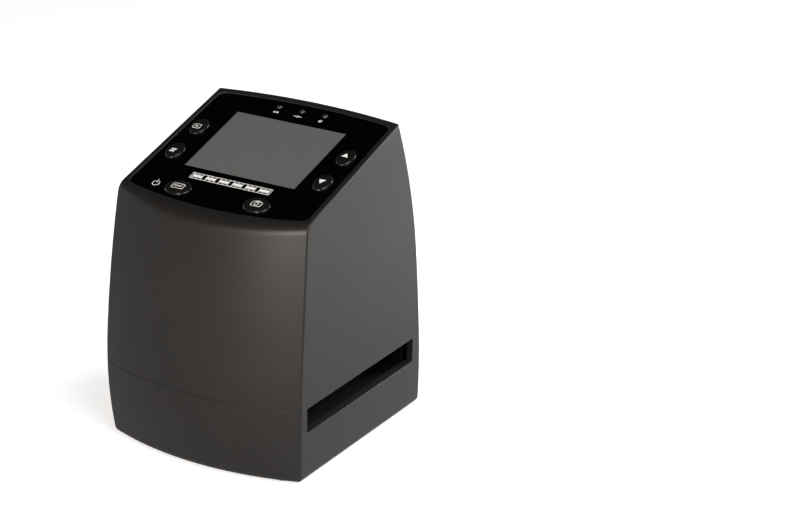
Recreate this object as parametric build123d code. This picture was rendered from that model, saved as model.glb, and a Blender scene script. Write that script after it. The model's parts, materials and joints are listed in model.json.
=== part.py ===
from build123d import *

import os
from math import asin, cos, degrees, radians, sin, tan

# Desktop scanner for 35 mm film. Millimetres, +Z up, the front faces -Y, the film slot runs along X.
# The origin is on the table, under the middle of the body's box.

# Body, outside
body_width = 88.2  # across the sides, where they are widest
body_depth = 96.0  # from the front bulge to the rear bulge
foot_height = 1.0  # from the table to the bottom of the body
rim_height = 110.75  # from the table to the rim plane, over the middle of the screen
panel_tilt = 16.6  # degrees that the rim plane falls towards the front
side_widest_z = 33.0
side_radius_above = 1165.0
side_radius_below = 320.0
front_widest_z = 27.0
front_radius_low = 175.0
front_flatter_z = 45.0  # where the front's curve gets flatter
front_radius_high = 600.0
front_bulge_radius = 124.7  # seen from above
rear_draft = 2.6  # degrees that the lower rear wall leans forward
rear_curve_z = 65.0  # where the rear wall starts to curve forward
rear_curve_radius = 230.0
rear_bulge_radius = 309.0  # seen from above
shoulder_round = 5.0  # between the front and the rim plane
side_edge_round = 0.7
bottom_round = 3.0
bottom_round_cut = 0.5  # how much of the bottom's round the flat bottom cuts off

# Shells
upper_wall = 2.2
base_wall = 2.8
floor_thickness = 2.4
seam_z = 30.6  # top edge of the base, from the table
seam_gap = 0.12
tongue_thickness = 1.0
tongue_height = 1.4
tongue_root = 2.5
tongue_clearance = 0.15
web_thickness = 1.6

# Film slot, through both sides
slot_front_border = 12.0  # from the front bulge to the slot's front end
slot_rear_border = 9.6  # from the rear bulge to its rear end
slot_height = 9.8
slot_corner = 0.6
lip_width = 3.6  # the ledge under the slot's mouth
lip_height = 3.0

# Faceplate and the deck under it, in the rim plane: x, v towards the rear, w up from the plane
faceplate_thickness = 1.2
faceplate_drop = 0.3  # its top lies this far under the rim
faceplate_side_front = 4.5  # from the body's widest side to its front corners
faceplate_side_rear = 5.6  # and to its rear corners
faceplate_front_border = 19.92  # from the front bulge to its front corners
faceplate_rear_border = 16.86  # from the rear bulge to its rear corners
faceplate_front_bulge = 5.0
faceplate_rear_bulge = 2.3
faceplate_corner = 3.0
faceplate_clearance = 0.12
rim_chamfer = 0.3
deck_thickness = 1.8
screen_width = 48.96
screen_height = 36.72
window_clearance = 0.05
glue_gap = 0.1

# Display module
lcd_margin = 2.0
lcd_tail_margin = 2.6  # on the rear edge, where its flex leaves
lcd_front_share = 0.619  # of the free room between the front keys and the lights, before the display
lcd_thickness = 2.5
lcd_clearance = 0.3

# Keys
side_key_shift = 0.51  # outwards from midway between the display and the faceplate's rear corner
side_key_rear_v = 4.6
side_key_front_v = -11.9
side_key_width = 6.9
side_key_length = 9.6
front_key_left_x = -18.2
front_key_right_x = 16.8
front_key_border = 21.83  # from the front bulge to their middle
front_key_width = 11.0
front_key_length = 8.5
key_rise = 0.7  # crown above the rim plane
key_crown_radius = 30.0
key_edge_round = 0.5
key_clearance = 0.2
key_flange_width = 0.5
key_flange_thickness = 0.8
key_flange_gap = 0.05
key_travel = 0.6
key_stem_radius = 1.6
key_stem_length = 0.9

# Tactile switches on the control board
switch_width = 6.0
switch_height = 2.6
switch_stem_radius = 1.6
switch_stem_rise = 0.9  # above the switch body
switch_stem_depth = 0.9
switch_bore_clearance = 0.08
switch_touch_gap = 0.05
switch_bottom_clearance = 0.15

# Control board, under the deck
board_thickness = 1.4
control_board_side_gap = 1.5  # inside the faceplate's rear corners
control_board_front_reach = 2.8  # past the faceplate's front corners
control_board_rear_gap = 0.6  # inside the faceplate's rear corners
control_board_corner = 4.0
control_screw_side_inset = 4.0  # front pair, from the board's side
control_screw_front_inset = 9.8  # and from its front edge
control_screw_rear_x = 29.5
control_screw_rear_inset = 2.3  # rear pair, from the board's rear edge

# Indicator lights behind the screen
light_pipe_radius = 1.2
light_pipe_pitch = 10.3
light_pipe_border = 18.2  # from the rear bulge to their middle
light_pipe_rise = 0.55  # above the faceplate
light_pipe_clearance = 0.05
led_length = 1.6
led_height = 0.8
led_gap = 0.15
indicator_led_shift = 0.5  # in front of the light pipe's middle

# Small screws
screw_radius = 1.0
screw_head_radius = 1.8
screw_head_height = 1.3
screw_length = 5.0
screw_boss_radius = 2.5
thread_clearance = 0.05
hole_clearance = 0.2
seat_gap = 0.05

# Long screws that close the body
base_screw_head_radius = 1.8
base_screw_boss_radius = 2.8
base_screw_length = 15.0
base_screw_seat = 8.0  # below the seam
base_screw_front_x = 18.0
base_screw_rear_x = 26.0
base_screw_front_offset = 4.2  # from the slot's front end
base_screw_rear_offset = 3.0  # from the slot's rear end
upper_boss_height = 11.0
counterbore_clearance = 0.2

# Chassis plate over the slot
chassis_thickness = 1.8
chassis_half = 34.0
chassis_overlap = 0.5  # past the slot's ends
chassis_ear_radius = 2.6
wall_clearance = 0.3
frame_length = 36.0  # one film frame
frame_width = 24.0
aperture_margin = 0.6

# Optics tower on the chassis
tower_length = 48.0
tower_width = 36.0
tower_height = 31.6
tower_wall = 1.8
tower_foot = 7.0
tower_foot_thickness = 2.0
tower_screw_y = 12.0
tower_screw_point_gap = 0.2  # above the chassis plate's underside
lens_radius = 7.0
lens_length = 13.0
lens_clearance = 0.05
lens_ring_wall = 2.0
lens_ring_rise = 6.0
lens_ring_drop = 2.0
lens_top_rise = 7.0  # barrel's top above the tower's top
lens_glass_radius = 4.6
lens_glass_depth = 2.5
lens_bore_radius = 3.2
lens_lip = 0.8
sensor_board_size = 30.0
sensor_standoff = 11.0
sensor_post_radius = 2.5
sensor_post_offset = 12.0
sensor_size = 9.0
sensor_height = 1.5

# Click stop for the film holder
detent_inset = 7.0  # from the slot's front end
detent_nose_radius = 1.5
detent_flange_radius = 2.0
detent_flange_height = 1.4
detent_reach = 1.5  # nose below the chassis plate, and its travel
detent_fit = 0.05
detent_boss_radius = 3.5
detent_boss_height = 9.6
detent_step = 1.0
detent_cap_height = 0.8
detent_plug_length = 2.0
detent_cap_radius = 3.2
detent_spring_radius = 1.8
detent_spring_wire = 0.45
detent_spring_gap = 0.05

# Film track under the slot
track_end_gap = 4.3  # from the body's widest side to the track's end
track_drop = 1.8  # plate's top below the ledge
track_thickness = 1.8
runner_width = 1.5
runner_rise = 0.2  # runner's top above the ledge
runner_inset = 1.6  # from the guide
guide_thickness = 1.0
guide_clearance = 0.2  # from the slot's ends, and from the chassis plate
track_post_x = 27.0
track_post_inset = 6.8  # from the slot's ends
diffuser_margin = 2.0
diffuser_clearance = 0.1

# Light box under the track
light_box_wall = 3.0
light_box_rim = 0.8  # how far the diffuser rests on it
led_board_length = 56.0
led_board_width = 36.0
led_board_standoff = 2.0
led_screw_x = 25.2
led_screw_y = 14.0
backlight_led_x = 3.5
backlight_led_y = 2.8
backlight_led_height = 1.4
backlight_pitch_x = 12.0
backlight_pitch_y = 11.0

# Main board behind the tower
main_board_z = 44.0
main_board_half = 31.0
main_board_gap = 2.3  # behind the tower
main_board_rear_gap = 6.6  # in front of the rear bulge
main_post_x = 28.0
main_post_inset = 3.4
main_post_rear_inset = 1.0  # from the chassis plate's rear edge to the post
socket_front_gap = 3.8  # sockets end this far in front of the rear bulge
socket_clearance = 0.25
card_socket_x = -12.5
card_socket_width = 26.0
card_socket_front_gap = 1.7  # behind the main board's front edge
card_socket_height = 3.2
card_width = 24.4
card_thickness = 2.2
usb_x = 7.0
usb_width = 7.7
usb_height = 3.9
usb_depth = 9.2
usb_wall = 0.5
usb_blade = 1.0
av_x = 18.0
av_width = 8.0
av_height = 6.4
av_depth = 10.0
av_collar_radius = 3.0
av_collar_length = 2.0
av_bore_radius = 1.8
av_bore_depth = 9.0
processor_size = 12.0
processor_height = 1.2
processor_x = -15.0
processor_inset = 0.1  # from the main board's front edge

# Flat flexes, their connectors, and the lamp lead
flex_thickness = 0.2
flex_width = 10.0
display_flex_width = 7.0
display_flex_landing = 8.0
display_flex_rise = 0.6  # above the display module's back
flex_bend = 2.0
connector_length = 12.0
connector_width = 4.0
connector_height = 2.0
panel_flex_x = 20.0
panel_flex_inset = 8.2  # from the control board's rear edge
panel_flex_lead = 8.0  # straight run at each end
panel_connector_gap = 0.7  # in front of the AV socket
sensor_connector_inset = 5.5  # from the sensor board's rear edge
sensor_landing_inset = 4.5  # from the main board's front edge
tower_flex_gap = 1.4
lead_radius = 0.8
lead_x = 33.5
lead_slot_gap = 1.5  # behind the slot's rear end
lead_bend = 4.0
lead_landing_x = 24.4
lead_connector_length = 4.0
lead_connector_width = 3.0
lead_connector_height = 2.4
lead_seat_gap = 0.1

# Feet
foot_radius = 4.0
foot_recess = 0.6
foot_edge = 0.3
foot_inset_x = 11.1  # from the body's widest side
foot_inset_y = 13.0  # from the bulges

# For finding faces and edges
side_border_depth = 6.0
tolerance = 1e-4

# Places that follow from the sizes above
half_width = body_width / 2
half_depth = body_depth / 2
profile_top = rim_height + half_depth
big = 4 * (profile_top + body_width)
tilt = radians(panel_tilt)
draft = radians(rear_draft)
lcd_front_reach = screen_height / 2 + lcd_margin
lcd_rear_reach = screen_height / 2 + lcd_tail_margin
free_from_y = front_key_border - half_depth + (front_key_length / 2 + key_flange_width) * cos(tilt)
free_to_y = half_depth - light_pipe_border - light_pipe_radius * cos(tilt)
free_room = free_to_y - free_from_y - (lcd_front_reach + lcd_rear_reach) * cos(tilt)
screen_y = free_from_y + lcd_front_share * free_room + lcd_front_reach * cos(tilt)
panel_plane = Plane(origin=(0, screen_y, rim_height), x_dir=(1, 0, 0), z_dir=(0, -sin(tilt), cos(tilt)))
floor_z = foot_height + floor_thickness
ledge_z = seam_z - slot_height
slot_front = slot_front_border - half_depth
slot_rear = half_depth - slot_rear_border
slot_length = slot_rear - slot_front
slot_y = (slot_front + slot_rear) / 2
detent_y = slot_front + detent_inset
faceplate_half_front = half_width - faceplate_side_front
faceplate_half_rear = half_width - faceplate_side_rear
faceplate_front_v = (faceplate_front_border - half_depth - screen_y) / cos(tilt)
faceplate_rear_v = (half_depth - faceplate_rear_border - screen_y) / cos(tilt)
front_key_v = (front_key_border - half_depth - screen_y) / cos(tilt)
light_pipe_v = (half_depth - light_pipe_border - screen_y) / cos(tilt)
indicator_led_v = light_pipe_v - indicator_led_shift
side_key_x = (screen_width / 2 + lcd_margin + faceplate_half_rear) / 2 + side_key_shift
control_board_half = faceplate_half_rear - control_board_side_gap
control_board_front_v = faceplate_front_v - control_board_front_reach
control_board_rear_v = faceplate_rear_v - control_board_rear_gap
panel_flex_v = control_board_rear_v - panel_flex_inset
faceplate_top = -faceplate_drop
deck_top = faceplate_top - faceplate_thickness
deck_bottom = deck_top - deck_thickness
chassis_top = seam_z + chassis_thickness
tower_top = chassis_top + tower_height
track_top = ledge_z - track_drop
track_bottom = track_top - track_thickness
led_board_z = floor_z + led_board_standoff
led_board_top = led_board_z + board_thickness
main_board_top = main_board_z + board_thickness
main_board_front = slot_y + tower_width / 2 + main_board_gap
main_board_rear = half_depth - main_board_rear_gap
socket_face = half_depth - socket_front_gap
card_socket_depth = socket_face - main_board_front - card_socket_front_gap
av_front = socket_face - av_collar_length - av_depth
key_flange_top = deck_bottom - key_flange_gap
key_flange_bottom = key_flange_top - key_flange_thickness
key_stem_bottom = key_flange_bottom - key_stem_length
switch_stem_top = key_stem_bottom - switch_touch_gap
switch_top = switch_stem_top - switch_stem_rise
control_board_top = switch_top - switch_height
control_board_bottom = control_board_top - board_thickness
lcd_top = deck_top - glue_gap
lcd_bottom = lcd_top - lcd_thickness
sensor_board_z = tower_top + sensor_standoff
track_half = half_width - track_end_gap
front_axis = front_bulge_radius - half_depth
rear_axis = half_depth - rear_bulge_radius
sensor_board_top = sensor_board_z + board_thickness
lens_top = tower_top + lens_top_rise
lens_low = lens_top - lens_length
tower_foot_top = chassis_top + tower_foot_thickness
detent_seat = seam_z + detent_step
detent_flange_top = detent_seat + detent_flange_height
detent_boss_top = chassis_top + detent_boss_height
diffuser_length = frame_length + 2 * diffuser_margin
diffuser_width = frame_width + 2 * diffuser_margin
av_z = main_board_top + av_height / 2
panel_connector_y = av_front - panel_connector_gap - connector_width / 2
sensor_landing_y = main_board_front + sensor_landing_inset
sensor_connector_y = slot_y + sensor_board_size / 2 - sensor_connector_inset
lead_y = slot_rear + lead_slot_gap
lead_low_z = led_board_top + lead_connector_height / 2
lead_high_z = main_board_top + lead_connector_height / 2
base_screw_places = [
    (-base_screw_front_x, slot_front - base_screw_front_offset),
    (base_screw_front_x, slot_front - base_screw_front_offset),
    (-base_screw_rear_x, slot_rear + base_screw_rear_offset),
    (base_screw_rear_x, slot_rear + base_screw_rear_offset),
]
control_screw_front_x = control_board_half - control_screw_side_inset
control_screw_front_v = control_board_front_v + control_screw_front_inset
control_screw_rear_v = control_board_rear_v - control_screw_rear_inset
control_screw_places = [
    (-control_screw_front_x, control_screw_front_v),
    (control_screw_front_x, control_screw_front_v),
    (-control_screw_rear_x, control_screw_rear_v),
    (control_screw_rear_x, control_screw_rear_v),
]
tower_screw_x = (tower_length + tower_foot) / 2
tower_screw_places = [
    (side * tower_screw_x, slot_y + end * tower_screw_y) for side in (-1, 1) for end in (-1, 1)
]
sensor_screw_places = [
    (side * sensor_post_offset, slot_y + end * sensor_post_offset) for side in (-1, 1) for end in (-1, 1)
]
main_post_places = [
    (side * main_post_x, y)
    for side in (-1, 1)
    for y in (
        main_board_front + main_post_inset,
        slot_rear + chassis_overlap - main_post_rear_inset - screw_boss_radius,
    )
]
track_screw_places = [
    (side * track_post_x, y)
    for side in (-1, 1)
    for y in (slot_front + track_post_inset, slot_rear - track_post_inset)
]
led_screw_places = [(side * led_screw_x, slot_y + end * led_screw_y) for side in (-1, 1) for end in (-1, 1)]
light_pipe_places = [(step * light_pipe_pitch, light_pipe_v) for step in (-1, 0, 1)]
key_places = {
    "play": (-side_key_x, side_key_rear_v, side_key_width, side_key_length),
    "copy": (-side_key_x, side_key_front_v, side_key_width, side_key_length),
    "up": (side_key_x, side_key_rear_v, side_key_width, side_key_length),
    "down": (side_key_x, side_key_front_v, side_key_width, side_key_length),
    "menu": (front_key_left_x, front_key_v, front_key_width, front_key_length),
    "capture": (front_key_right_x, front_key_v, front_key_width, front_key_length),
}


# Basic forms


def block(x_size, y_size, low, high, x=0.0, y=0.0):
    return Pos(x, y, (low + high) / 2) * Box(x_size, y_size, high - low)


def rod(radius, low, high, x=0.0, y=0.0):
    return Pos(x, y, (low + high) / 2) * Cylinder(radius, high - low)


def oval(x_size, y_size, low, high, x=0.0, y=0.0):
    return Pos(x, y, low) * extrude(Ellipse(x_size / 2, y_size / 2), high - low)


def rods(radius, low, high, places):
    return [rod(radius, low, high, x, y) for x, y in places]


def corners(x, y, middle_y):
    return [(i * x, middle_y + j * y) for i in (-1, 1) for j in (-1, 1)]


def on_panel(shape):
    """Places what is drawn as x, v and w on the rim plane."""
    return panel_plane.location * shape


def group(shapes):
    return Compound(children=[solid for shape in shapes for solid in shape.solids()])


def screw(x, y, seat, length, points_up=True):
    """A small pan-head screw whose head sits at the level seat."""
    head = rod(screw_head_radius, -screw_head_height, 0)
    made = head + rod(screw_radius, 0, length)
    turn = Rot(0, 0, 0) if points_up else Rot(180, 0, 0)
    return Pos(x, y, seat) * turn * made


def ribbon(path, width, x):
    """A flat flex whose line lies in a plane across x."""
    strip = extrude(Plane.YZ * trace(path, flex_thickness), width / 2, both=True)
    return Pos(x, 0, 0) * strip


# Outer form of the body


def profile_bottom(inset):
    return foot_height - bottom_round_cut + inset


def arc_to(centre, radius, start, end):
    return CenterArc(centre, radius, start, end - start)


def rounded_bottom(face, inset, axis=None):
    """Rounds the body's lowest corners. The forms inside it stay square there, under the floor's level."""
    if inset > 0:
        return face
    low = [v for v in face.vertices() if abs(v.Y - profile_bottom(inset)) < tolerance]
    outer = [v for v in low if axis is None or abs(v.X - axis) > tolerance]
    return fillet(outer, bottom_round)


def front_outline(inset):
    """Half outline of the front, from the axis that it turns about to the front's middle line."""
    low_centre = (front_radius_low - half_depth, front_widest_z)
    flatter = asin((front_flatter_z - front_widest_z) / front_radius_low)
    shift = front_radius_high - front_radius_low
    high_centre = (low_centre[0] + shift * cos(flatter), front_widest_z - shift * sin(flatter))
    low_radius = front_radius_low - inset
    high_radius = front_radius_high - inset
    low_angle = degrees(asin((profile_bottom(inset) - front_widest_z) / low_radius))
    high_angle = degrees(asin((profile_top - high_centre[1]) / high_radius))
    low = arc_to(low_centre, low_radius, 180 - low_angle, 180 - degrees(flatter))
    high = arc_to(high_centre, high_radius, 180 - degrees(flatter), 180 - high_angle)
    rest = Polyline(high @ 1, (front_axis, profile_top), (front_axis, profile_bottom(inset)), low @ 0)
    return rounded_bottom(make_face([low, high, rest]), inset, front_axis)


def rear_outline(inset):
    """Half outline of the rear, from the axis that it turns about to the rear's middle line."""
    start_y = half_depth + bottom_round * (tan(draft) + 1 / cos(draft) - 1)
    bend_y = start_y - (rear_curve_z - profile_bottom(0)) * tan(draft)
    centre = (bend_y - rear_curve_radius * cos(draft), rear_curve_z - rear_curve_radius * sin(draft))
    radius = rear_curve_radius - inset
    bend = (centre[0] + radius * cos(draft), centre[1] + radius * sin(draft))
    foot = (bend[0] + (bend[1] - profile_bottom(inset)) * tan(draft), profile_bottom(inset))
    high_angle = degrees(asin((profile_top - centre[1]) / radius))
    wall = Line(foot, bend)
    curve = arc_to(centre, radius, rear_draft, high_angle)
    rest = Polyline(curve @ 1, (rear_axis, profile_top), (rear_axis, profile_bottom(inset)), foot)
    return rounded_bottom(make_face([wall, curve, rest]), inset, rear_axis)


def side_outline(inset):
    """Whole outline across the body, seen from the front."""
    high_radius = side_radius_above - inset
    low_radius = side_radius_below - inset
    high_angle = degrees(asin((profile_top - side_widest_z) / high_radius))
    low_angle = degrees(asin((profile_bottom(inset) - side_widest_z) / low_radius))
    high_x = half_width - side_radius_above
    low_x = half_width - side_radius_below
    right_low = arc_to((low_x, side_widest_z), low_radius, low_angle, 0)
    right_high = arc_to((high_x, side_widest_z), high_radius, 0, high_angle)
    left_high = arc_to((-high_x, side_widest_z), high_radius, 180 - high_angle, 180)
    left_low = arc_to((-low_x, side_widest_z), low_radius, 180, 180 - low_angle)
    top = Line(right_high @ 1, left_high @ 0)
    bottom = Line(left_low @ 1, right_low @ 0)
    return rounded_bottom(make_face([right_low, right_high, top, left_high, left_low, bottom]), inset)


def below(z):
    return block(big, big, z - big, z)


def above(z):
    return block(big, big, z, z + big)


def between(low, high):
    return block(big, big, low, high)


def above_panel(w):
    return on_panel(above(w))


def turned(outline, axis_y):
    """An outline turned about its upright axis, kept near the body."""
    whole = revolve(Plane.YZ * outline, Axis((0, axis_y, 0), (0, 0, 1)))
    return whole & block(2 * body_width, 2 * body_depth, 0, profile_top)


def front_form(inset):
    return turned(front_outline(inset), front_axis)


def rear_form(inset):
    return turned(rear_outline(inset), rear_axis)


def side_form(inset):
    return extrude(Plane.XZ * side_outline(inset), body_depth, both=True)


def inner_form(inset, top=0.0):
    """The body's form drawn in by inset, up to the level top of the rim plane."""
    return front_form(inset) & rear_form(inset) & side_form(inset) - above_panel(top)


def front_with_shoulder():
    """The front's form, cut at the rim plane and rounded where it meets that."""
    form = front_form(0) - above_panel(0)
    rim = [f for f in form.faces() if abs(f.normal_at().dot(panel_plane.z_dir)) > 1 - tolerance]
    curved = [e for e in rim[0].edges() if e.geom_type != GeomType.LINE]
    return fillet(curved, shoulder_round)


def side_border(form):
    """Edges where the sides meet the front, the rear and the rim plane."""
    far_out = half_width - side_border_depth
    edges = [e for e in form.edges() if abs(e.center().X) > far_out]
    edges = [e for e in edges if abs(e.tangent_at(0.5).Y) < 1 - tolerance]
    return [e for e in edges if max(v.Z for v in e.vertices()) > foot_height + tolerance]


def outer_form():
    sides = side_form(0) - below(foot_height) - above_panel(0)
    form = front_with_shoulder() & rear_form(0) & sides
    return fillet(side_border(form), side_edge_round)


def ring_form(outer_inset, inner_inset, low, high):
    """A band of wall that follows the body, between two levels."""
    return (inner_form(outer_inset) - inner_form(inner_inset)) & between(low, high)


# Faceplate, screen and lights, drawn on the rim plane


def faceplate_slab(grow, low, high):
    front_x = faceplate_half_front + grow
    rear_x = faceplate_half_rear + grow
    front_v = faceplate_front_v - grow
    rear_v = faceplate_rear_v + grow
    front = ThreePointArc((-front_x, front_v), (0, front_v - faceplate_front_bulge), (front_x, front_v))
    right = Line((front_x, front_v), (rear_x, rear_v))
    rear = ThreePointArc((rear_x, rear_v), (0, rear_v + faceplate_rear_bulge), (-rear_x, rear_v))
    left = Line((-rear_x, rear_v), (-front_x, front_v))
    outline = make_face([front, right, rear, left])
    outline = fillet(outline.vertices(), faceplate_corner + grow)
    return Pos(0, 0, low) * extrude(outline, high - low)


def key_holes(grow, low, high):
    return [
        oval(width + 2 * grow, length + 2 * grow, low, high, x, v)
        for x, v, width, length in key_places.values()
    ]


def light_pipe_holes(low, high):
    return rods(light_pipe_radius + light_pipe_clearance, low, high, light_pipe_places)


def faceplate():
    plate = faceplate_slab(0, deck_top, faceplate_top)
    grow = 2 * window_clearance
    plate -= block(screen_width + grow, screen_height + grow, deck_top, faceplate_top)
    plate -= key_holes(key_clearance, deck_top, faceplate_top)
    plate -= light_pipe_holes(deck_top, faceplate_top)
    return on_panel(plate)


def screen_window():
    return on_panel(block(screen_width, screen_height, deck_top, faceplate_top))


def lcd_slab(grow, low, high):
    width = screen_width + 2 * (lcd_margin + grow)
    length = lcd_rear_reach + lcd_front_reach + 2 * grow
    return block(width, length, low, high, 0, (lcd_rear_reach - lcd_front_reach) / 2)


def lcd_module():
    return on_panel(lcd_slab(0, lcd_bottom, lcd_top))


def display_flex():
    """From the display's rear edge, between two lights, round under it and onto the control board."""
    top_w = lcd_bottom + display_flex_rise
    low_w = control_board_top + seat_gap + flex_thickness / 2
    radius = (top_w - low_w) / 2
    bend = CenterArc((lcd_rear_reach + seat_gap, low_w + radius), radius, 90, -180)
    landing = Line(bend @ 1, (lcd_rear_reach - display_flex_landing, low_w))
    return on_panel(ribbon([bend, landing], display_flex_width, light_pipe_pitch / 2))


def light_pipes():
    bottom = control_board_top + led_height + led_gap
    neck = faceplate_top + light_pipe_rise - light_pipe_radius
    pipes = [
        rod(light_pipe_radius, bottom, neck, x, v) + Pos(x, v, neck) * Sphere(light_pipe_radius)
        for x, v in light_pipe_places
    ]
    return on_panel(group(pipes))


def indicator_leds():
    top = control_board_top + led_height
    leds = [
        block(led_length, led_length, control_board_top, top, x, indicator_led_v)
        for x, _ in light_pipe_places
    ]
    return on_panel(group(leds))


# Keys, their switches and the control board


def key(name):
    x, v, width, length = key_places[name]
    cap = oval(width, length, key_flange_top, key_rise, x, v)
    cap &= Pos(x, v, key_rise - key_crown_radius) * Sphere(key_crown_radius)
    cap = fillet(cap.faces().sort_by(Axis.Z)[-1].edges(), key_edge_round)
    grow = 2 * key_flange_width
    cap += oval(width + grow, length + grow, key_flange_bottom, key_flange_top, x, v)
    cap += rod(key_stem_radius, key_stem_bottom, key_flange_bottom, x, v)
    return on_panel(cap)


def switch_stem(name):
    x, v, _, _ = key_places[name]
    return on_panel(rod(switch_stem_radius, switch_top - switch_stem_depth, switch_stem_top, x, v))


def switch_bodies():
    bore_bottom = switch_top - switch_stem_depth - key_travel - switch_bottom_clearance
    bore = switch_stem_radius + switch_bore_clearance
    bodies = []
    for x, v, _, _ in key_places.values():
        body = block(switch_width, switch_width, control_board_top, switch_top, x, v)
        bodies.append(body - rod(bore, bore_bottom, switch_top, x, v))
    return on_panel(group(bodies))


def control_board():
    length = control_board_rear_v - control_board_front_v
    middle = (control_board_rear_v + control_board_front_v) / 2
    board = block(2 * control_board_half, length, control_board_bottom, control_board_top, 0, middle)
    board = fillet(board.edges().filter_by(Axis.Z), control_board_corner)
    holes = rods(screw_radius + hole_clearance, control_board_bottom, control_board_top, control_screw_places)
    return on_panel(board - holes)


def control_board_screws():
    return on_panel(group([screw(x, v, control_board_bottom, screw_length) for x, v in control_screw_places]))


# Upper housing


def socket_openings():
    """Holes in the rear wall for the three sockets."""
    grow = 2 * socket_clearance
    low = main_board_top - socket_clearance
    card_high = main_board_top + card_socket_height + socket_clearance
    usb_high = main_board_top + usb_height + socket_clearance
    outside = half_depth + main_board_rear_gap / 2
    depth = outside - main_board_rear
    middle = (main_board_rear + outside) / 2
    card = block(card_socket_width + grow, depth, low, card_high, card_socket_x, middle)
    usb = block(usb_width + grow, depth, low, usb_high, usb_x, middle)
    av = along_y(av_collar_radius + socket_clearance, main_board_rear, outside, av_x, av_z)
    return [card, usb, av]


def along_y(radius, front, rear, x, z):
    return Pos(x, (front + rear) / 2, z) * Rot(90, 0, 0) * Cylinder(radius, rear - front)


def wall_web(x, y, low, high, inset):
    """A rib from a screw boss to the wall beyond it."""
    far = half_depth if y > 0 else -half_depth
    rib = block(web_thickness, abs(far - y), low, high, x, (far + y) / 2)
    return rib & inner_form(inset)


def upper_bosses():
    """Bosses that take the long screws, with a rib to the wall."""
    high = chassis_top + upper_boss_height
    bosses = [
        rod(base_screw_boss_radius, chassis_top, high, x, y) & inner_form(upper_wall / 2)
        for x, y in base_screw_places
    ]
    return bosses + [wall_web(x, y, chassis_top, high, upper_wall / 2) for x, y in base_screw_places]


def upper_housing(outer):
    shell = outer - below(seam_z + seam_gap) - inner_form(upper_wall, deck_bottom)
    shell -= on_panel(faceplate_slab(faceplate_clearance, deck_top, profile_top))
    shell -= on_panel(rim_bevel())
    deck_low = deck_bottom - deck_thickness
    shell -= on_panel(lcd_slab(lcd_clearance, deck_low, deck_top))
    shell -= [on_panel(hole) for hole in key_holes(key_clearance, deck_low, deck_top)]
    shell -= [on_panel(hole) for hole in light_pipe_holes(deck_low, deck_top)]
    shell -= socket_openings()
    bosses = rods(screw_boss_radius, control_board_top, deck_bottom, control_screw_places)
    shell += [on_panel(boss) for boss in bosses]
    shell += upper_bosses()
    pilot = screw_radius + thread_clearance
    depth = screw_length - board_thickness + hole_clearance
    pilots = rods(pilot, control_board_top, control_board_top + depth, control_screw_places)
    shell -= [on_panel(hole) for hole in pilots]
    point = seam_z - base_screw_seat + base_screw_length + hole_clearance
    return shell - rods(pilot, chassis_top, point, base_screw_places)


def rim_bevel():
    """The small bevel round the faceplate's pocket."""
    wide = faceplate_slab(faceplate_clearance + rim_chamfer, -rim_chamfer, 0)
    edge = wide.faces().sort_by(Axis.Z)[0].edges()
    return chamfer(edge, rim_chamfer * (1 - tolerance))


# Base housing


def foot_places():
    return corners(half_width - foot_inset_x, half_depth - foot_inset_y, 0)


def tongue():
    """The lip that keeps the two shells in line, left out round the screw bosses."""
    outside = upper_wall + tongue_clearance
    band = ring_form(outside, outside + tongue_thickness, seam_z - tongue_root, seam_z + tongue_height)
    return band - rods(chassis_ear_radius + wall_clearance, seam_z, chassis_top, base_screw_places)


def slot_lips():
    """Thicker wall under the slot's mouths, which makes the ledge wide."""
    band = ring_form(base_wall / 2, lip_width, ledge_z - lip_height, ledge_z)
    return band & block(big, slot_length, 0, ledge_z, 0, slot_y)


def slot_cut():
    cut = block(2 * body_width, slot_length, ledge_z, seam_z + chassis_thickness, 0, slot_y)
    return fillet(cut.edges().filter_by(Axis.X), slot_corner)


def base_housing(outer):
    shell = outer - above(seam_z) - (inner_form(base_wall) - below(floor_z))
    shell += [tongue(), slot_lips()]
    shell += rods(base_screw_boss_radius, floor_z, seam_z, base_screw_places)
    shell += [wall_web(x, y, floor_z, seam_z, base_wall / 2) for x, y in base_screw_places]
    shell += rods(screw_boss_radius, floor_z, track_bottom, track_screw_places)
    shell += rods(screw_boss_radius, floor_z, led_board_z, led_screw_places)
    shell -= slot_cut()
    seat = seam_z - base_screw_seat
    shell -= rods(base_screw_head_radius + counterbore_clearance, 0, seat, base_screw_places)
    shell -= rods(screw_radius + hole_clearance, seat, seam_z, base_screw_places)
    pilot = screw_radius + thread_clearance
    depth = screw_length - board_thickness + hole_clearance
    shell -= rods(pilot, track_bottom - depth, track_bottom, track_screw_places)
    shell -= rods(pilot, led_board_z - depth, led_board_z, led_screw_places)
    return shell - rods(foot_radius + seat_gap, foot_height, foot_height + foot_recess, foot_places())


def base_screws():
    seat = seam_z - base_screw_seat
    return group([screw(x, y, seat, base_screw_length) for x, y in base_screw_places])


def rubber_feet():
    feet = []
    for x, y in foot_places():
        foot = rod(foot_radius, 0, foot_height + foot_recess, x, y)
        feet.append(chamfer(foot.edges().sort_by(Axis.Z)[0], foot_edge))
    return group(feet)


# Film track and the lamp under it


def film_track():
    width = slot_length - 2 * guide_clearance
    plate = block(2 * track_half, width, track_bottom, track_top, 0, slot_y)
    guide_y = (width - guide_thickness) / 2
    runner_y = guide_y - runner_inset - (guide_thickness + runner_width) / 2
    length = 2 * track_half
    for side in (-1, 1):
        guide_at = slot_y + side * guide_y
        runner_at = slot_y + side * runner_y
        plate += block(length, guide_thickness, track_top, seam_z - guide_clearance, 0, guide_at)
        plate += block(length, runner_width, track_top, ledge_z + runner_rise, 0, runner_at)
    plate -= block(diffuser_length, diffuser_width, track_bottom, track_top, 0, slot_y)
    return plate - rods(screw_radius + hole_clearance, track_bottom, track_top, track_screw_places)


def track_screws():
    return group([screw(x, y, track_top, screw_length, False) for x, y in track_screw_places])


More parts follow.
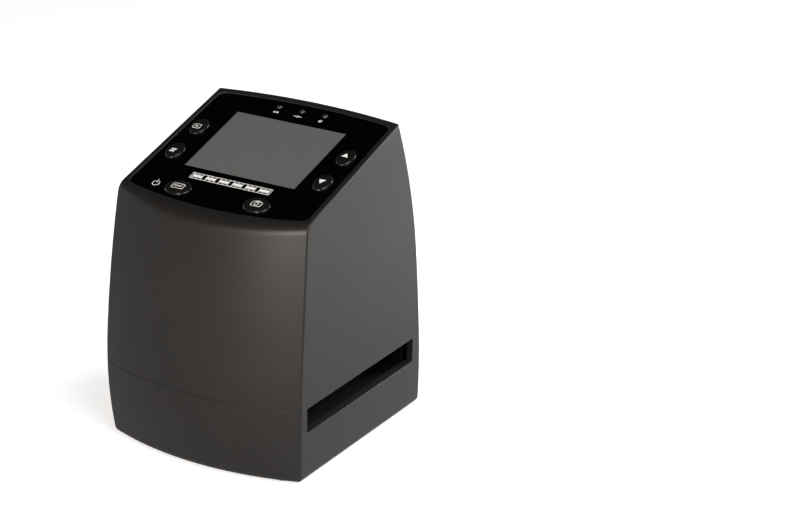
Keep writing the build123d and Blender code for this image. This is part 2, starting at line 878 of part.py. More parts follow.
def diffuser():
    gap = 2 * diffuser_clearance
    return block(diffuser_length - gap, diffuser_width - gap, track_bottom, track_top, 0, slot_y)


def light_box():
    inner_length = diffuser_length - 2 * light_box_rim
    inner_width = diffuser_width - 2 * light_box_rim
    wall = 2 * light_box_wall
    box = block(inner_length + wall, inner_width + wall, led_board_top, track_bottom, 0, slot_y)
    return box - block(inner_length, inner_width, led_board_top, track_bottom, 0, slot_y)


def led_board():
    board = block(led_board_length, led_board_width, led_board_z, led_board_top, 0, slot_y)
    return board - rods(screw_radius + hole_clearance, led_board_z, led_board_top, led_screw_places)


def backlight_leds():
    top = led_board_top + backlight_led_height
    leds = []
    for i in (-1, 0, 1):
        for j in (-1, 1):
            y = slot_y + j * backlight_pitch_y / 2
            leds.append(block(backlight_led_x, backlight_led_y, led_board_top, top, i * backlight_pitch_x, y))
    return group(leds)


def led_board_screws():
    return group([screw(x, y, led_board_top, screw_length, False) for x, y in led_screw_places])


# Chassis plate and the click stop for the film holder


def chassis_ears():
    """Ears between the screw bosses of the two shells."""
    width = 2 * chassis_ear_radius
    ears = rods(chassis_ear_radius, seam_z, chassis_top, base_screw_places)
    for x, y in base_screw_places:
        ears.append(block(width, abs(y - slot_y), seam_z, chassis_top, x, (y + slot_y) / 2))
    return ears


def chassis_plate():
    plate = block(2 * chassis_half, slot_length + 2 * chassis_overlap, seam_z, chassis_top, 0, slot_y)
    plate += chassis_ears()
    plate &= inner_form(upper_wall + wall_clearance)
    plate += rods(screw_boss_radius, chassis_top, main_board_z, main_post_places)
    plate += rod(detent_boss_radius, chassis_top, detent_boss_top, 0, detent_y)
    margin = 2 * aperture_margin
    plate -= block(frame_length + margin, frame_width + margin, seam_z, chassis_top, 0, slot_y)
    plate -= rods(screw_radius + hole_clearance, seam_z, chassis_top, base_screw_places)
    pilot = screw_radius + thread_clearance
    depth = screw_length - board_thickness + hole_clearance
    plate -= rods(pilot, main_board_z - depth, main_board_z, main_post_places)
    plate -= rods(pilot, seam_z, chassis_top, tower_screw_places)
    plate -= rod(detent_nose_radius + detent_fit, seam_z, detent_seat, 0, detent_y)
    return plate - rod(detent_flange_radius + detent_fit, detent_seat, detent_boss_top, 0, detent_y)


def detent_plunger():
    nose_centre = seam_z - detent_reach + detent_nose_radius
    nose = rod(detent_nose_radius, nose_centre, detent_seat, 0, detent_y)
    nose += Pos(0, detent_y, nose_centre) * Sphere(detent_nose_radius)
    return nose + rod(detent_flange_radius, detent_seat, detent_flange_top, 0, detent_y)


def detent_cap():
    plug = rod(detent_flange_radius, detent_boss_top - detent_plug_length, detent_boss_top, 0, detent_y)
    return plug + rod(detent_cap_radius, detent_boss_top, detent_boss_top + detent_cap_height, 0, detent_y)


def detent_spring():
    """The coil spring between plunger and cap, as the sleeve that its turns fill."""
    low = detent_flange_top + detent_spring_gap
    high = detent_boss_top - detent_plug_length - detent_spring_gap
    sleeve = rod(detent_spring_radius, low, high, 0, detent_y)
    return sleeve - rod(detent_spring_radius - detent_spring_wire, low, high, 0, detent_y)


# Optics tower


def optics_tower():
    shell = block(tower_length, tower_width, chassis_top, tower_top, 0, slot_y)
    inner_length = tower_length - 2 * tower_wall
    inner_width = tower_width - 2 * tower_wall
    shell -= block(inner_length, inner_width, chassis_top, tower_top - tower_wall, 0, slot_y)
    for x, y in tower_screw_places:
        shell += block(tower_foot, tower_foot, chassis_top, tower_foot_top, x, y)
    ring_low = tower_top - tower_wall - lens_ring_drop
    ring_high = tower_top + lens_ring_rise
    bore = lens_radius + lens_clearance
    shell += rod(bore + lens_ring_wall, ring_low, ring_high, 0, slot_y)
    shell += rods(sensor_post_radius, tower_top, sensor_board_z, sensor_screw_places)
    shell -= rod(bore, ring_low, ring_high, 0, slot_y)
    shell -= rods(screw_radius + hole_clearance, chassis_top, tower_foot_top, tower_screw_places)
    depth = screw_length - board_thickness + hole_clearance
    pilot = screw_radius + thread_clearance
    return shell - rods(pilot, sensor_board_z - depth, sensor_board_z, sensor_screw_places)


def tower_screws():
    length = tower_foot_thickness + chassis_thickness - tower_screw_point_gap
    return group([screw(x, y, tower_foot_top, length, False) for x, y in tower_screw_places])


def lens_barrel():
    barrel = rod(lens_radius, lens_low, lens_top, 0, slot_y)
    barrel -= rod(lens_bore_radius, lens_low, lens_top, 0, slot_y)
    glass_top = lens_low + lens_lip + lens_glass_depth
    return barrel - rod(lens_glass_radius + lens_clearance, lens_low, glass_top, 0, slot_y)


def lens_glass():
    low = lens_low + lens_lip
    glass = rod(lens_glass_radius, low, low + lens_glass_depth, 0, slot_y)
    return glass & Pos(0, slot_y, low + 2 * lens_glass_radius) * Sphere(2 * lens_glass_radius)


def sensor_board():
    board = block(sensor_board_size, sensor_board_size, sensor_board_z, sensor_board_top, 0, slot_y)
    return board - rods(screw_radius + hole_clearance, sensor_board_z, sensor_board_top, sensor_screw_places)


def sensor_board_screws():
    return group([screw(x, y, sensor_board_top, screw_length, False) for x, y in sensor_screw_places])


def image_sensor():
    return block(sensor_size, sensor_size, sensor_board_z - sensor_height, sensor_board_z, 0, slot_y)


# Main board and its sockets


def main_board():
    depth = main_board_rear - main_board_front
    middle = (main_board_rear + main_board_front) / 2
    board = block(2 * main_board_half, depth, main_board_z, main_board_top, 0, middle)
    return board - rods(screw_radius + hole_clearance, main_board_z, main_board_top, main_post_places)


def main_board_screws():
    return group([screw(x, y, main_board_top, screw_length, False) for x, y in main_post_places])


def main_processor():
    """On the underside of the main board."""
    y = main_board_front + processor_size / 2 + processor_inset
    low = main_board_z - processor_height
    return block(processor_size, processor_size, low, main_board_z, processor_x, y)


def card_socket():
    top = main_board_top + card_socket_height
    middle = socket_face - card_socket_depth / 2
    case = block(card_socket_width, card_socket_depth, main_board_top, top, card_socket_x, middle)
    wall = (card_socket_height - card_thickness) / 2
    low = main_board_top + wall
    slot = block(card_width, card_socket_depth, low, top - wall, card_socket_x, middle + 2 * wall)
    return case - slot


def usb_socket():
    top = main_board_top + usb_height
    middle = socket_face - usb_depth / 2
    case = block(usb_width, usb_depth, main_board_top, top, usb_x, middle)
    inner = usb_width - 2 * usb_wall
    case -= block(inner, usb_depth, main_board_top + usb_wall, top - usb_wall, usb_x, middle + 2 * usb_wall)
    blade_z = (main_board_top + top) / 2
    blade_length = usb_depth - 2 * usb_wall
    blade_low = blade_z - usb_blade / 2
    return case + block(inner / 2, blade_length, blade_low, blade_low + usb_blade, usb_x, middle - usb_wall)


def av_socket():
    body_rear = socket_face - av_collar_length
    middle = body_rear - av_depth / 2
    body = block(av_width, av_depth, main_board_top, main_board_top + av_height, av_x, middle)
    body += along_y(av_collar_radius, body_rear, socket_face, av_x, av_z)
    return body - along_y(av_bore_radius, socket_face - av_bore_depth, socket_face, av_x, av_z)


# Flexes, connectors and the lamp lead


def flex_connector(x, y, low):
    return block(connector_length, connector_width, low, low + connector_height, x, y)


def flex_connectors():
    """Four connectors: under the control board, on and under the main board, and on the sensor board."""
    panel_low = control_board_bottom - connector_height
    return group(
        [
            on_panel(flex_connector(panel_flex_x, panel_flex_v, panel_low)),
            flex_connector(panel_flex_x, panel_connector_y, main_board_top),
            flex_connector(0, sensor_landing_y, main_board_z - connector_height),
            flex_connector(0, sensor_connector_y, sensor_board_top),
        ]
    )


def panel_flex():
    """From the control board down to the main board."""
    start_w = control_board_bottom - connector_height - seat_gap
    start = panel_plane.from_local_coords((0, panel_flex_v, start_w))
    bend = start - panel_plane.z_dir * panel_flex_lead
    end_z = main_board_top + connector_height + seat_gap
    low_bend = (panel_connector_y, end_z + panel_flex_lead)
    line = FilletPolyline(
        (start.Y, start.Z), (bend.Y, bend.Z), low_bend, (panel_connector_y, end_z), radius=2 * flex_bend
    )
    return ribbon(line, flex_width, panel_flex_x)


def sensor_flex():
    """From the sensor board, down behind the tower and under the main board."""
    high = sensor_board_top + connector_height / 2
    low = main_board_z - connector_height / 2
    start = sensor_connector_y + connector_width / 2 + seat_gap
    end = sensor_landing_y - connector_width / 2 - seat_gap
    drop = slot_y + tower_width / 2 + tower_flex_gap
    line = FilletPolyline((start, high), (drop, high), (drop, low), (end, low), radius=flex_bend)
    return ribbon(line, flex_width, 0)


def lead_connector(x, y, low):
    return block(lead_connector_length, lead_connector_width, low, low + lead_connector_height, x, y)


def lead_connectors():
    first = lead_connector(led_screw_x, slot_y, led_board_top)
    second = lead_connector(lead_landing_x, lead_y, main_board_top)
    return group([first, second])


def lamp_lead():
    """From the lamp's board, along the floor and up behind the slot to the main board."""
    start_x = led_screw_x + lead_connector_length / 2 + lead_seat_gap
    end_x = lead_landing_x + lead_connector_length / 2 + lead_seat_gap
    line = FilletPolyline(
        (start_x, slot_y, lead_low_z),
        (lead_x, slot_y, lead_low_z),
        (lead_x, lead_y, lead_low_z),
        (lead_x, lead_y, lead_high_z),
        (end_x, lead_y, lead_high_z),
        radius=lead_bend,
    )
    return sweep(Plane(origin=line @ 0, z_dir=line % 0) * Circle(lead_radius), line)


# Writing the pieces


def pieces():
    outer = outer_form()
    made = {
        "upper_housing": upper_housing(outer),
        "base_housing": base_housing(outer),
        "faceplate": faceplate(),
        "screen_window": screen_window(),
        "lcd_module": lcd_module(),
        "display_flex": display_flex(),
        "light_pipes": light_pipes(),
        "indicator_leds": indicator_leds(),
        "switch_bodies": switch_bodies(),
        "control_board": control_board(),
        "control_board_screws": control_board_screws(),
        "base_screws": base_screws(),
        "rubber_feet": rubber_feet(),
        "film_track": film_track(),
        "track_screws": track_screws(),
        "diffuser": diffuser(),
        "light_box": light_box(),
        "led_board": led_board(),
        "backlight_leds": backlight_leds(),
        "led_board_screws": led_board_screws(),
        "chassis_plate": chassis_plate(),
        "detent_plunger": detent_plunger(),
        "detent_cap": detent_cap(),
        "detent_spring": detent_spring(),
        "optics_tower": optics_tower(),
        "tower_screws": tower_screws(),
        "lens_barrel": lens_barrel(),
        "lens_glass": lens_glass(),
        "sensor_board": sensor_board(),
        "sensor_board_screws": sensor_board_screws(),
        "image_sensor": image_sensor(),
        "main_board": main_board(),
        "main_board_screws": main_board_screws(),
        "main_processor": main_processor(),
        "card_socket": card_socket(),
        "usb_socket": usb_socket(),
        "av_socket": av_socket(),
        "flex_connectors": flex_connectors(),
        "panel_flex": panel_flex(),
        "sensor_flex": sensor_flex(),
        "lead_connectors": lead_connectors(),
        "lamp_lead": lamp_lead(),
    }
    for name in key_places:
        made["key_" + name] = key(name)
        made["switch_stem_" + name] = switch_stem(name)
    return made


os.makedirs("parts", exist_ok=True)
for node, shape in pieces().items():
    export_step(shape, os.path.join("parts", node + ".step"))
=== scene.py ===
import json
import math

import bpy
from mathutils import Matrix, Vector


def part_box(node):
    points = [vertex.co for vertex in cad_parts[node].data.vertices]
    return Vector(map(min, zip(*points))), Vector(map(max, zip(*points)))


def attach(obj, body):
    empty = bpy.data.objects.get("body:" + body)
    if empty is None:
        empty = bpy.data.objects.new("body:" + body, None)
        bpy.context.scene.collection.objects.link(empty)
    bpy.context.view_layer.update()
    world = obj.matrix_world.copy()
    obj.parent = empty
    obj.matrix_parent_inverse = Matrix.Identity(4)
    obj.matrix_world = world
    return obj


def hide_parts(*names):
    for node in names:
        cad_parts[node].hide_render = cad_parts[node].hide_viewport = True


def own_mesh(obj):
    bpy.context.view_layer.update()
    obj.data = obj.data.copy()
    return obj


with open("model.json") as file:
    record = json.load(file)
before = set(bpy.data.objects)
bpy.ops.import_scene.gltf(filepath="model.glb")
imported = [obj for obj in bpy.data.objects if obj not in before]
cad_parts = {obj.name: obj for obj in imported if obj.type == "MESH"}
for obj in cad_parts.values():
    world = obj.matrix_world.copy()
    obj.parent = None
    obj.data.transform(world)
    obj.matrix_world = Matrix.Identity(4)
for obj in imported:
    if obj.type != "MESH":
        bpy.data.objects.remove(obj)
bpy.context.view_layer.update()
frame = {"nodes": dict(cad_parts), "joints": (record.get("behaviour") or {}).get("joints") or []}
nodes = frame["nodes"]

# Camera
# A long lens looks down on the scanner's front right corner, as in the photograph. Its place, aim and
# lens were fitted to the display's corners, the rim and the film slot.
sensor_width = 36.0  # millimetres, as is the lens
lens_length = 117.54
nearest_seen = 0.01
camera_place = Vector((0.52056, -0.75260, 0.44289))
camera_turn = math.radians(31.37)
camera_drop = math.radians(22.39)
camera_roll = math.radians(0.09)

bpy.ops.object.camera_add(location=camera_place)
camera = bpy.context.object
aim = Matrix.Rotation(camera_turn, 3, "Z") @ Matrix.Rotation(math.pi / 2 - camera_drop, 3, "X")
camera.rotation_euler = (aim @ Matrix.Rotation(camera_roll, 3, "Z")).to_euler()
camera.data.sensor_width = sensor_width
camera.data.lens = lens_length
camera.data.clip_start = nearest_seen
bpy.context.scene.camera = camera


# Floor and light
# A plain white table before a low white backdrop, in a dark room, so that the glossy top mirrors black.
# The main softbox stands to the right and above. Small ones behind and at the right rear brighten the
# rear of the right side, a tall one in front lights the shoulder, and one at the left the keys' edges.
floor_size = 6.0
floor_drop = 0.00002  # keeps the table just under the feet
floor_colour = "#cfcfcf"
floor_glow = 0.10  # in the picture and in what mirrors the table
picture_glow = 0.58  # in the picture alone, so that the table is white around its shadow
backdrop_radius = 2.9
backdrop_height = 0.9
backdrop_sides = 64
backdrop_glow = 0.35
room_strength = 0.006
lamp_aim = Vector((0, 0, 0.06))  # the middle of the scanner


def linear(hex_colour, alpha=1.0):
    """Turns an sRGB hex colour to the linear values that a shader takes."""
    channels = [int(hex_colour[i : i + 2], 16) / 255 for i in (1, 3, 5)]
    return [c / 12.92 if c <= 0.04045 else ((c + 0.055) / 1.055) ** 2.4 for c in channels] + [alpha]


def add_node(material, kind, inputs=None, **settings):
    """Adds a shader node. An input is a value, or the output of another node."""
    node = material.node_tree.nodes.new(kind)
    for name, value in settings.items():
        setattr(node, name, value)
    for name, value in (inputs or {}).items():
        if isinstance(value, bpy.types.NodeSocket):
            material.node_tree.links.new(value, node.inputs[name])
        else:
            node.inputs[name].default_value = value
    return node


def start_material(name):
    """A new material without any nodes."""
    material = bpy.data.materials.new(name)
    material.use_nodes = True
    material.node_tree.nodes.clear()
    return material


def set_surface(material, shader):
    """Makes a shader the surface of its material."""
    output = add_node(material, "ShaderNodeOutputMaterial")
    material.node_tree.links.new(shader, output.inputs["Surface"])


def math_node(material, operation, first, second):
    """The result of a sum on two values or outputs."""
    return add_node(material, "ShaderNodeMath", {0: first, 1: second}, operation=operation).outputs[0]


def glowing_white(name, glow, extra=0.0):
    """White paper that glows where it is seen or mirrored, and keeps the shadows that fall on it."""
    material = start_material(name)
    diffuse = add_node(material, "ShaderNodeBsdfDiffuse", {"Color": linear(floor_colour)})
    ray = add_node(material, "ShaderNodeLightPath")
    seen = math_node(material, "MAXIMUM", ray.outputs["Is Camera Ray"], ray.outputs["Is Glossy Ray"])
    seen = math_node(material, "MAXIMUM", seen, ray.outputs["Is Transmission Ray"])
    strength = math_node(material, "MULTIPLY", seen, glow)
    more = math_node(material, "MULTIPLY", ray.outputs["Is Camera Ray"], extra)
    strength = math_node(material, "ADD", strength, more)
    light = add_node(material, "ShaderNodeEmission", {"Strength": strength})
    both = add_node(material, "ShaderNodeAddShader", {0: diffuse.outputs[0], 1: light.outputs[0]})
    set_surface(material, both.outputs[0])
    return material


bpy.ops.mesh.primitive_plane_add(size=floor_size, location=(0, 0, -floor_drop))
table = bpy.context.object
table.name = "table"
table.data.materials.append(glowing_white("white table", floor_glow, picture_glow))

bpy.ops.mesh.primitive_cylinder_add(
    vertices=backdrop_sides,
    radius=backdrop_radius,
    depth=backdrop_height,
    end_fill_type="NOTHING",
    location=(0, 0, backdrop_height / 2),
)
backdrop = bpy.context.object
backdrop.name = "backdrop"
backdrop.data.materials.append(glowing_white("white backdrop", backdrop_glow, picture_glow))

room = bpy.data.worlds.new("dark room")
bpy.context.scene.world = room
room.use_nodes = True
room.node_tree.nodes["Background"].inputs["Color"].default_value = (1, 1, 1, 1)
room.node_tree.nodes["Background"].inputs["Strength"].default_value = room_strength


def softbox(name, place, size_x, size_y, power, colour="#ffffff"):
    """A soft lamp at a place, aimed at the middle of the scanner."""
    bpy.ops.object.light_add(type="AREA", location=place)
    lamp = bpy.context.object
    lamp.name = name
    lamp.data.shape = "RECTANGLE"
    lamp.data.size = size_x
    lamp.data.size_y = size_y
    lamp.data.energy = power
    lamp.data.color = linear(colour)[:3]
    lamp.rotation_euler = (lamp_aim - Vector(place)).to_track_quat("-Z", "Y").to_euler()


softbox("main softbox", (1.0, -0.45, 1.20), 0.9, 0.9, 19.0)
softbox("rear softbox", (0.45, 0.70, 0.60), 0.4, 0.4, 2.0)
softbox("side softbox", (0.20, 0.32, 0.15), 0.12, 0.12, 1.2)
softbox("front softbox", (0.11, -1.15, 0.42), 0.24, 0.6, 11.0, "#fff0e4")
softbox("left softbox", (-1.25, -0.02, 0.26), 0.4, 0.24, 1.0)

# Housing shells
# Two shells of black ABS, injection moulded against a finely etched tool and screwed together from
# below. Their surface is satin and even, with a grain that only breaks up the reflections.
grain_size = 0.0003  # coarser than the etching, which is too fine to show
sheen_patch = 0.035  # how wide the faint changes in gloss are
shell_colour = "#1b1a19"
shell_drift = "#1f1e1d"
shell_edge = 0.0004  # what the tool's polish rounds off every edge
shell_ior = 1.42  # the etching scatters a part of what smooth ABS would mirror


def bump_normal(material, height, strength, depth, edge=0.0):
    """A normal from a height pattern, over edges softened by a small radius."""
    inputs = {"Height": height, "Strength": strength, "Distance": depth}
    if edge > 0:
        soft = add_node(material, "ShaderNodeBevel", {"Radius": edge}, samples=6)
        inputs["Normal"] = soft.outputs["Normal"]
    return add_node(material, "ShaderNodeBump", inputs).outputs["Normal"]


def noise(material, size, detail=2.0, roughness=0.5):
    """A noise pattern whose patches have a real size, in metres."""
    where = add_node(material, "ShaderNodeTexCoord")
    inputs = {
        "Vector": where.outputs["Object"],
        "Scale": 1 / size,
        "Detail": detail,
        "Roughness": roughness,
    }
    return add_node(material, "ShaderNodeTexNoise", inputs).outputs["Fac"]


def spread(material, value, low, high):
    """Spreads a pattern's middle values from low to high."""
    inputs = {"Value": value, "From Min": 0.3, "From Max": 0.7, "To Min": low, "To Max": high}
    return add_node(material, "ShaderNodeMapRange", inputs).outputs["Result"]


def tinted(material, value, first, second):
    """A colour between two, picked by a pattern."""
    inputs = {0: value, 6: linear(first), 7: linear(second)}  # factor and the two colours
    return add_node(material, "ShaderNodeMix", inputs, data_type="RGBA").outputs[2]


def moulded_plastic(
    name, colour, other, rough, rough_spread=0.05, grain=grain_size, relief=0.12, edge=0.0003, ior=1.5
):
    """Injection-moulded plastic: one colour with faint drifts, and a fine etched grain."""
    material = start_material(name)
    drift = noise(material, sheen_patch)
    fine = noise(material, grain, 3.0)
    shader = add_node(
        material,
        "ShaderNodeBsdfPrincipled",
        {
            "Base Color": tinted(material, drift, colour, other),
            "Roughness": spread(material, drift, rough - rough_spread, rough + rough_spread),
            "IOR": ior,
            "Normal": bump_normal(material, fine, relief, grain / 4, edge),
        },
    )
    set_surface(material, shader.outputs[0])
    return material


def finish_with(material, *names):
    """Gives CAD pieces a material."""
    for name in names:
        nodes[name].data.materials.clear()
        nodes[name].data.materials.append(material)


shell_plastic = moulded_plastic(
    "etched black ABS", shell_colour, shell_drift, 0.40, 0.03, edge=shell_edge, ior=shell_ior
)
finish_with(shell_plastic, "upper_housing", "base_housing")

# Faceplate
# A plate of black acrylic, cast between polished glass, so it mirrors without grain. It is glued into
# the pocket in the tilted top.
smudge_size = 0.02
gloss_plastic = start_material("polished black acrylic")
smudge = noise(gloss_plastic, smudge_size)
faceplate_shader = add_node(
    gloss_plastic,
    "ShaderNodeBsdfPrincipled",
    {
        "Base Color": linear("#020202"),
        "Roughness": spread(gloss_plastic, smudge, 0.05, 0.09),
        "IOR": 1.49,
    },
)
set_surface(gloss_plastic, faceplate_shader.outputs[0])
finish_with(gloss_plastic, "faceplate")

# Display
# The display's glass is grey when it is off: an anti-glare film over the cells, which scatters what it
# mirrors. Under it sits the module, with its flex folded round to the control board.
cell_pitch = 0.0008  # real cells are a fifth of this, too fine to show
cell_relief = 0.00002
cloud_size = 0.03
screen_glass = start_material("anti-glare display glass")
where = add_node(screen_glass, "ShaderNodeTexCoord")
cells = add_node(
    screen_glass,
    "ShaderNodeTexWave",
    {"Vector": where.outputs["Object"], "Scale": 1 / cell_pitch / 20, "Distortion": 0.0},
    bands_direction="X",
)
cloud = noise(screen_glass, cloud_size)
screen_shader = add_node(
    screen_glass,
    "ShaderNodeBsdfPrincipled",
    {
        "Base Color": tinted(screen_glass, cloud, "#5d605f", "#626564"),
        "Roughness": spread(screen_glass, cloud, 0.30, 0.36),
        "IOR": 1.5,
        "Normal": bump_normal(screen_glass, cells.outputs["Fac"], 0.02, cell_relief),
    },
)
set_surface(screen_glass, screen_shader.outputs[0])
finish_with(screen_glass, "screen_window")

# Keys
# Six oval keys of black ABS, moulded with a domed, polished crown that catches a thin highlight. Each
# has a white pictogram printed on it, and slides through the faceplate along the tilted top's normal.
key_grain = 0.0006
key_plastic = moulded_plastic(
    "polished black ABS", "#141414", "#171716", 0.22, 0.03, grain=key_grain, relief=0.05
)
key_names = ("play", "copy", "up", "down", "menu", "capture")
finish_with(key_plastic, *("key_" + name for name in key_names))

ink_height = 0.00003  # where the ink's top lies over its carrier
ink_depth = ink_height * 0.6
ink_speck_size = 0.0008
print_start = 0.004  # how far over the display the flat shapes start, before they are laid down
stroke = 0.26  # millimetres, as are all sizes of the printed shapes
press_axis = Vector(next(j["axis"] for j in frame["joints"] if j["name"] == "key_menu_press"))
panel_tilt = math.atan2(press_axis.y, -press_axis.z)
screen_low, screen_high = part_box("screen_window")
panel_middle = (screen_low + screen_high) / 2
panel_turn = Matrix.Rotation(panel_tilt, 4, "X")


def panel_place(x, v):
    """A point over the tilted top: x across, v towards the rear from the middle of the display."""
    return Matrix.Translation(panel_middle) @ panel_turn @ Matrix.Translation((x, v, print_start))


def deselect():
    """Leaves nothing selected, so that the next operator acts on the new piece alone."""
    bpy.ops.object.select_all(action="DESELECT")


def outline(thickness):
    """Turns the flat shape being edited into an outline of that thickness."""
    bpy.ops.object.mode_set(mode="EDIT")
    bpy.ops.mesh.select_all(action="SELECT")
    bpy.ops.mesh.inset(thickness=thickness)
    bpy.ops.mesh.delete(type="FACE")
    bpy.ops.object.mode_set(mode="OBJECT")


def flat_box(x, y, width, height, corner=0.0, line=0.0):
    """A flat rectangle in millimetres, with round corners, filled or as an outline."""
    deselect()
    bpy.ops.mesh.primitive_plane_add(size=0.001, location=(x / 1000, y / 1000, 0))
    shape = bpy.context.object
    shape.scale = (width, height, 1)
    bpy.ops.object.transform_apply(location=True, rotation=True, scale=True)
    if corner > 0:
        bpy.ops.object.mode_set(mode="EDIT")
        bpy.ops.mesh.select_all(action="SELECT")
        bpy.ops.mesh.bevel(offset=corner / 1000, segments=3, affect="VERTICES")
        bpy.ops.object.mode_set(mode="OBJECT")
    if line > 0:
        outline(line / 1000)
    return shape


def flat_disc(x, y, radius, line=0.0, sides=24, turn=0.0, stretch=1.0):
    """A flat disc or polygon in millimetres, filled or as an outline."""
    deselect()
    bpy.ops.mesh.primitive_circle_add(
        vertices=sides, radius=radius / 1000, fill_type="NGON", location=(x / 1000, y / 1000, 0),
        rotation=(0, 0, math.radians(turn)),
    )
    shape = bpy.context.object
    shape.scale = (1, stretch, 1)
    bpy.ops.object.transform_apply(location=True, rotation=True, scale=True)
    if line > 0:
        outline(line / 1000)
    return shape


def cut_away(shape, low_x, high_x, low_y, high_y):
    """Deletes what of a flat shape lies inside a window, after cutting along its sides."""
    bpy.ops.object.mode_set(mode="EDIT")
    bpy.ops.mesh.select_mode(type="FACE")
    across, along = (1, 0, 0), (0, 1, 0)
    for value, normal in ((low_x, across), (high_x, across), (low_y, along), (high_y, along)):
        bpy.ops.mesh.select_all(action="SELECT")
        bpy.ops.mesh.bisect(plane_co=Vector(normal) * value / 1000, plane_no=normal)
    bpy.ops.mesh.select_all(action="DESELECT")
    bpy.ops.object.mode_set(mode="OBJECT")
    for face in shape.data.polygons:
        x, y = face.center.x * 1000, face.center.y * 1000
        face.select = low_x < x < high_x and low_y < y < high_y
    bpy.ops.object.mode_set(mode="EDIT")
    bpy.ops.mesh.delete(type="FACE")
    bpy.ops.mesh.select_mode(type="VERT")
    bpy.ops.object.mode_set(mode="OBJECT")
    return shape


# The ink dries to a flat, even white.
white_ink = start_material("white screen-printing ink")
ink_speck = noise(white_ink, ink_speck_size)
ink_shader = add_node(
    white_ink,
    "ShaderNodeBsdfPrincipled",
    {
        "Base Color": tinted(white_ink, ink_speck, "#e6e7e6", "#f2f3f2"),
        "Roughness": spread(white_ink, ink_speck, 0.45, 0.60),
        "IOR": 1.5,
    },
)
set_surface(white_ink, ink_shader.outputs[0])


def print_on(name, shapes, carrier, x, v, body):
    """Joins flat shapes and lays them on a carrier as a thin film of ink."""
    deselect()
    for shape in shapes:
        shape.select_set(True)
    bpy.context.view_layer.objects.active = shapes[0]
    if len(shapes) > 1:
        bpy.ops.object.join()
    printed = bpy.context.object
    printed.name = name
    bpy.ops.object.mode_set(mode="EDIT")
    bpy.ops.mesh.select_all(action="SELECT")
    bpy.ops.mesh.quads_convert_to_tris()
    bpy.ops.mesh.subdivide(number_cuts=2)
    bpy.ops.object.mode_set(mode="OBJECT")
    printed.matrix_world = panel_place(x, v)
    laid = printed.modifiers.new("laid on the surface", "SHRINKWRAP")
    laid.target = nodes[carrier]
    laid.wrap_method = "PROJECT"
    laid.use_project_z = True
    laid.use_negative_direction = True
    laid.use_positive_direction = False
    laid.offset = ink_height
    bpy.ops.object.modifier_apply(modifier=laid.name)
    film = printed.modifiers.new("ink film", "SOLIDIFY")
    film.thickness = ink_depth
    film.offset = -1.0
    bpy.ops.object.modifier_apply(modifier=film.name)
    bpy.ops.object.transform_apply(location=True, rotation=True, scale=True)
    printed.data.materials.clear()
    printed.data.materials.append(white_ink)
    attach(printed, body)


def key_middle(name):
    """A key's middle on the tilted top, in millimetres across and towards the rear."""
    low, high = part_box("key_" + name)
    local = panel_turn.inverted() @ ((low + high) / 2 - panel_middle)
    return local.x, local.y


def print_key(name, shapes):
    """Prints a pictogram on a key's crown."""
    x, v = key_middle(name)
    print_on("pictogram_" + name, shapes, "key_" + name, x, v, "key_" + name + "_body")


print_key("up", [flat_disc(-0.5, 0.1, 1.7, sides=3, turn=0, stretch=0.95)])
print_key("down", [flat_disc(-0.5, -0.1, 1.7, sides=3, turn=180, stretch=0.95)])
play_arrow = flat_disc(-0.8, -0.9, 0.75, sides=3, turn=-90)
print_key("play", [flat_box(-0.7, -0.9, 3.4, 2.7, 0.6, stroke), play_arrow])
print_key("copy", [flat_box(-0.45, -0.35, 2.2, 0.8, 0.2), flat_box(-0.8, -1.5, 2.2, 0.8, 0.2)])
menu_dashes = [flat_box(x, 0, 0.5, 0.9) for x in (-1.35, -0.45, 0.45, 1.35)]
print_key("menu", [flat_box(0, 0, 5.2, 3.0, 0.5, stroke)] + menu_dashes)
camera_back = flat_box(0, -0.15, 4.4, 2.9, 0.6, stroke)
camera_hump = flat_box(0, 1.45, 1.9, 0.35, 0.1)
print_key("capture", [camera_back, camera_hump, flat_disc(0, -0.15, 0.95, stroke)])

# Printing on the faceplate
# White ink, screen-printed on the acrylic: a power symbol beside the left front key, a small sign in
# front of each light, and a strip of film with its perforations as a plain ornament under the display.
sign_stroke = 0.24
power_ring = cut_away(flat_disc(0, -0.1, 1.55, 0.30, sides=32), -0.75, 0.75, 0.3, 1.8)
power_x = -0.0284
power_v = -0.0318
power_bar = flat_box(0, 1.15, 0.34, 1.8)
print_on("power_symbol", [power_ring, power_bar], "faceplate", power_x, power_v, "body")

strip_length = 35.6
strip_height = 3.5
strip_frames = 6
strip_v = -0.0231
strip_x = -0.0005
frame_pitch = strip_length / strip_frames
hole_x = frame_pitch / 3
hole_y = strip_height * 0.345
strip = [flat_box(0, 0, strip_length, strip_height, 0.25, stroke)]
for index in range(strip_frames):
    middle = (index - (strip_frames - 1) / 2) * frame_pitch
    strip.append(flat_box(middle, 0, frame_pitch * 0.74, strip_height * 0.42))
    for side in (-1, 1):
        for step in (-1, 0, 1):
            strip.append(flat_box(middle + step * hole_x, side * hole_y, 0.62, 0.32))
print_on("film_strip_ornament", strip, "faceplate", strip_x, strip_v, "body")

light_pitch = 0.0103
label_v = 0.0228
card_back = flat_box(-0.2, 0, 0.9, 1.0, 0.15, sign_stroke)
card_sign = [card_back, flat_box(0.85, 0, 0.35, 1.0), flat_box(1.4, 0, 0.35, 1.0)]
print_on("card_sign", card_sign, "faceplate", -light_pitch, label_v, "body")
mains_ring = flat_disc(0, 0, 0.62, sign_stroke)
mains_sign = [mains_ring, flat_box(-1.3, 0, 1.1, 0.28), flat_box(1.3, 0, 1.1, 0.28)]
print_on("mains_sign", mains_sign, "faceplate", 0, label_v, "body")
computer_sign = [flat_box(0, 0.2, 1.5, 0.9, 0.1, sign_stroke), flat_box(0, -0.55, 1.2, 0.26)]
print_on("computer_sign", computer_sign, "faceplate", light_pitch, label_v, "body")

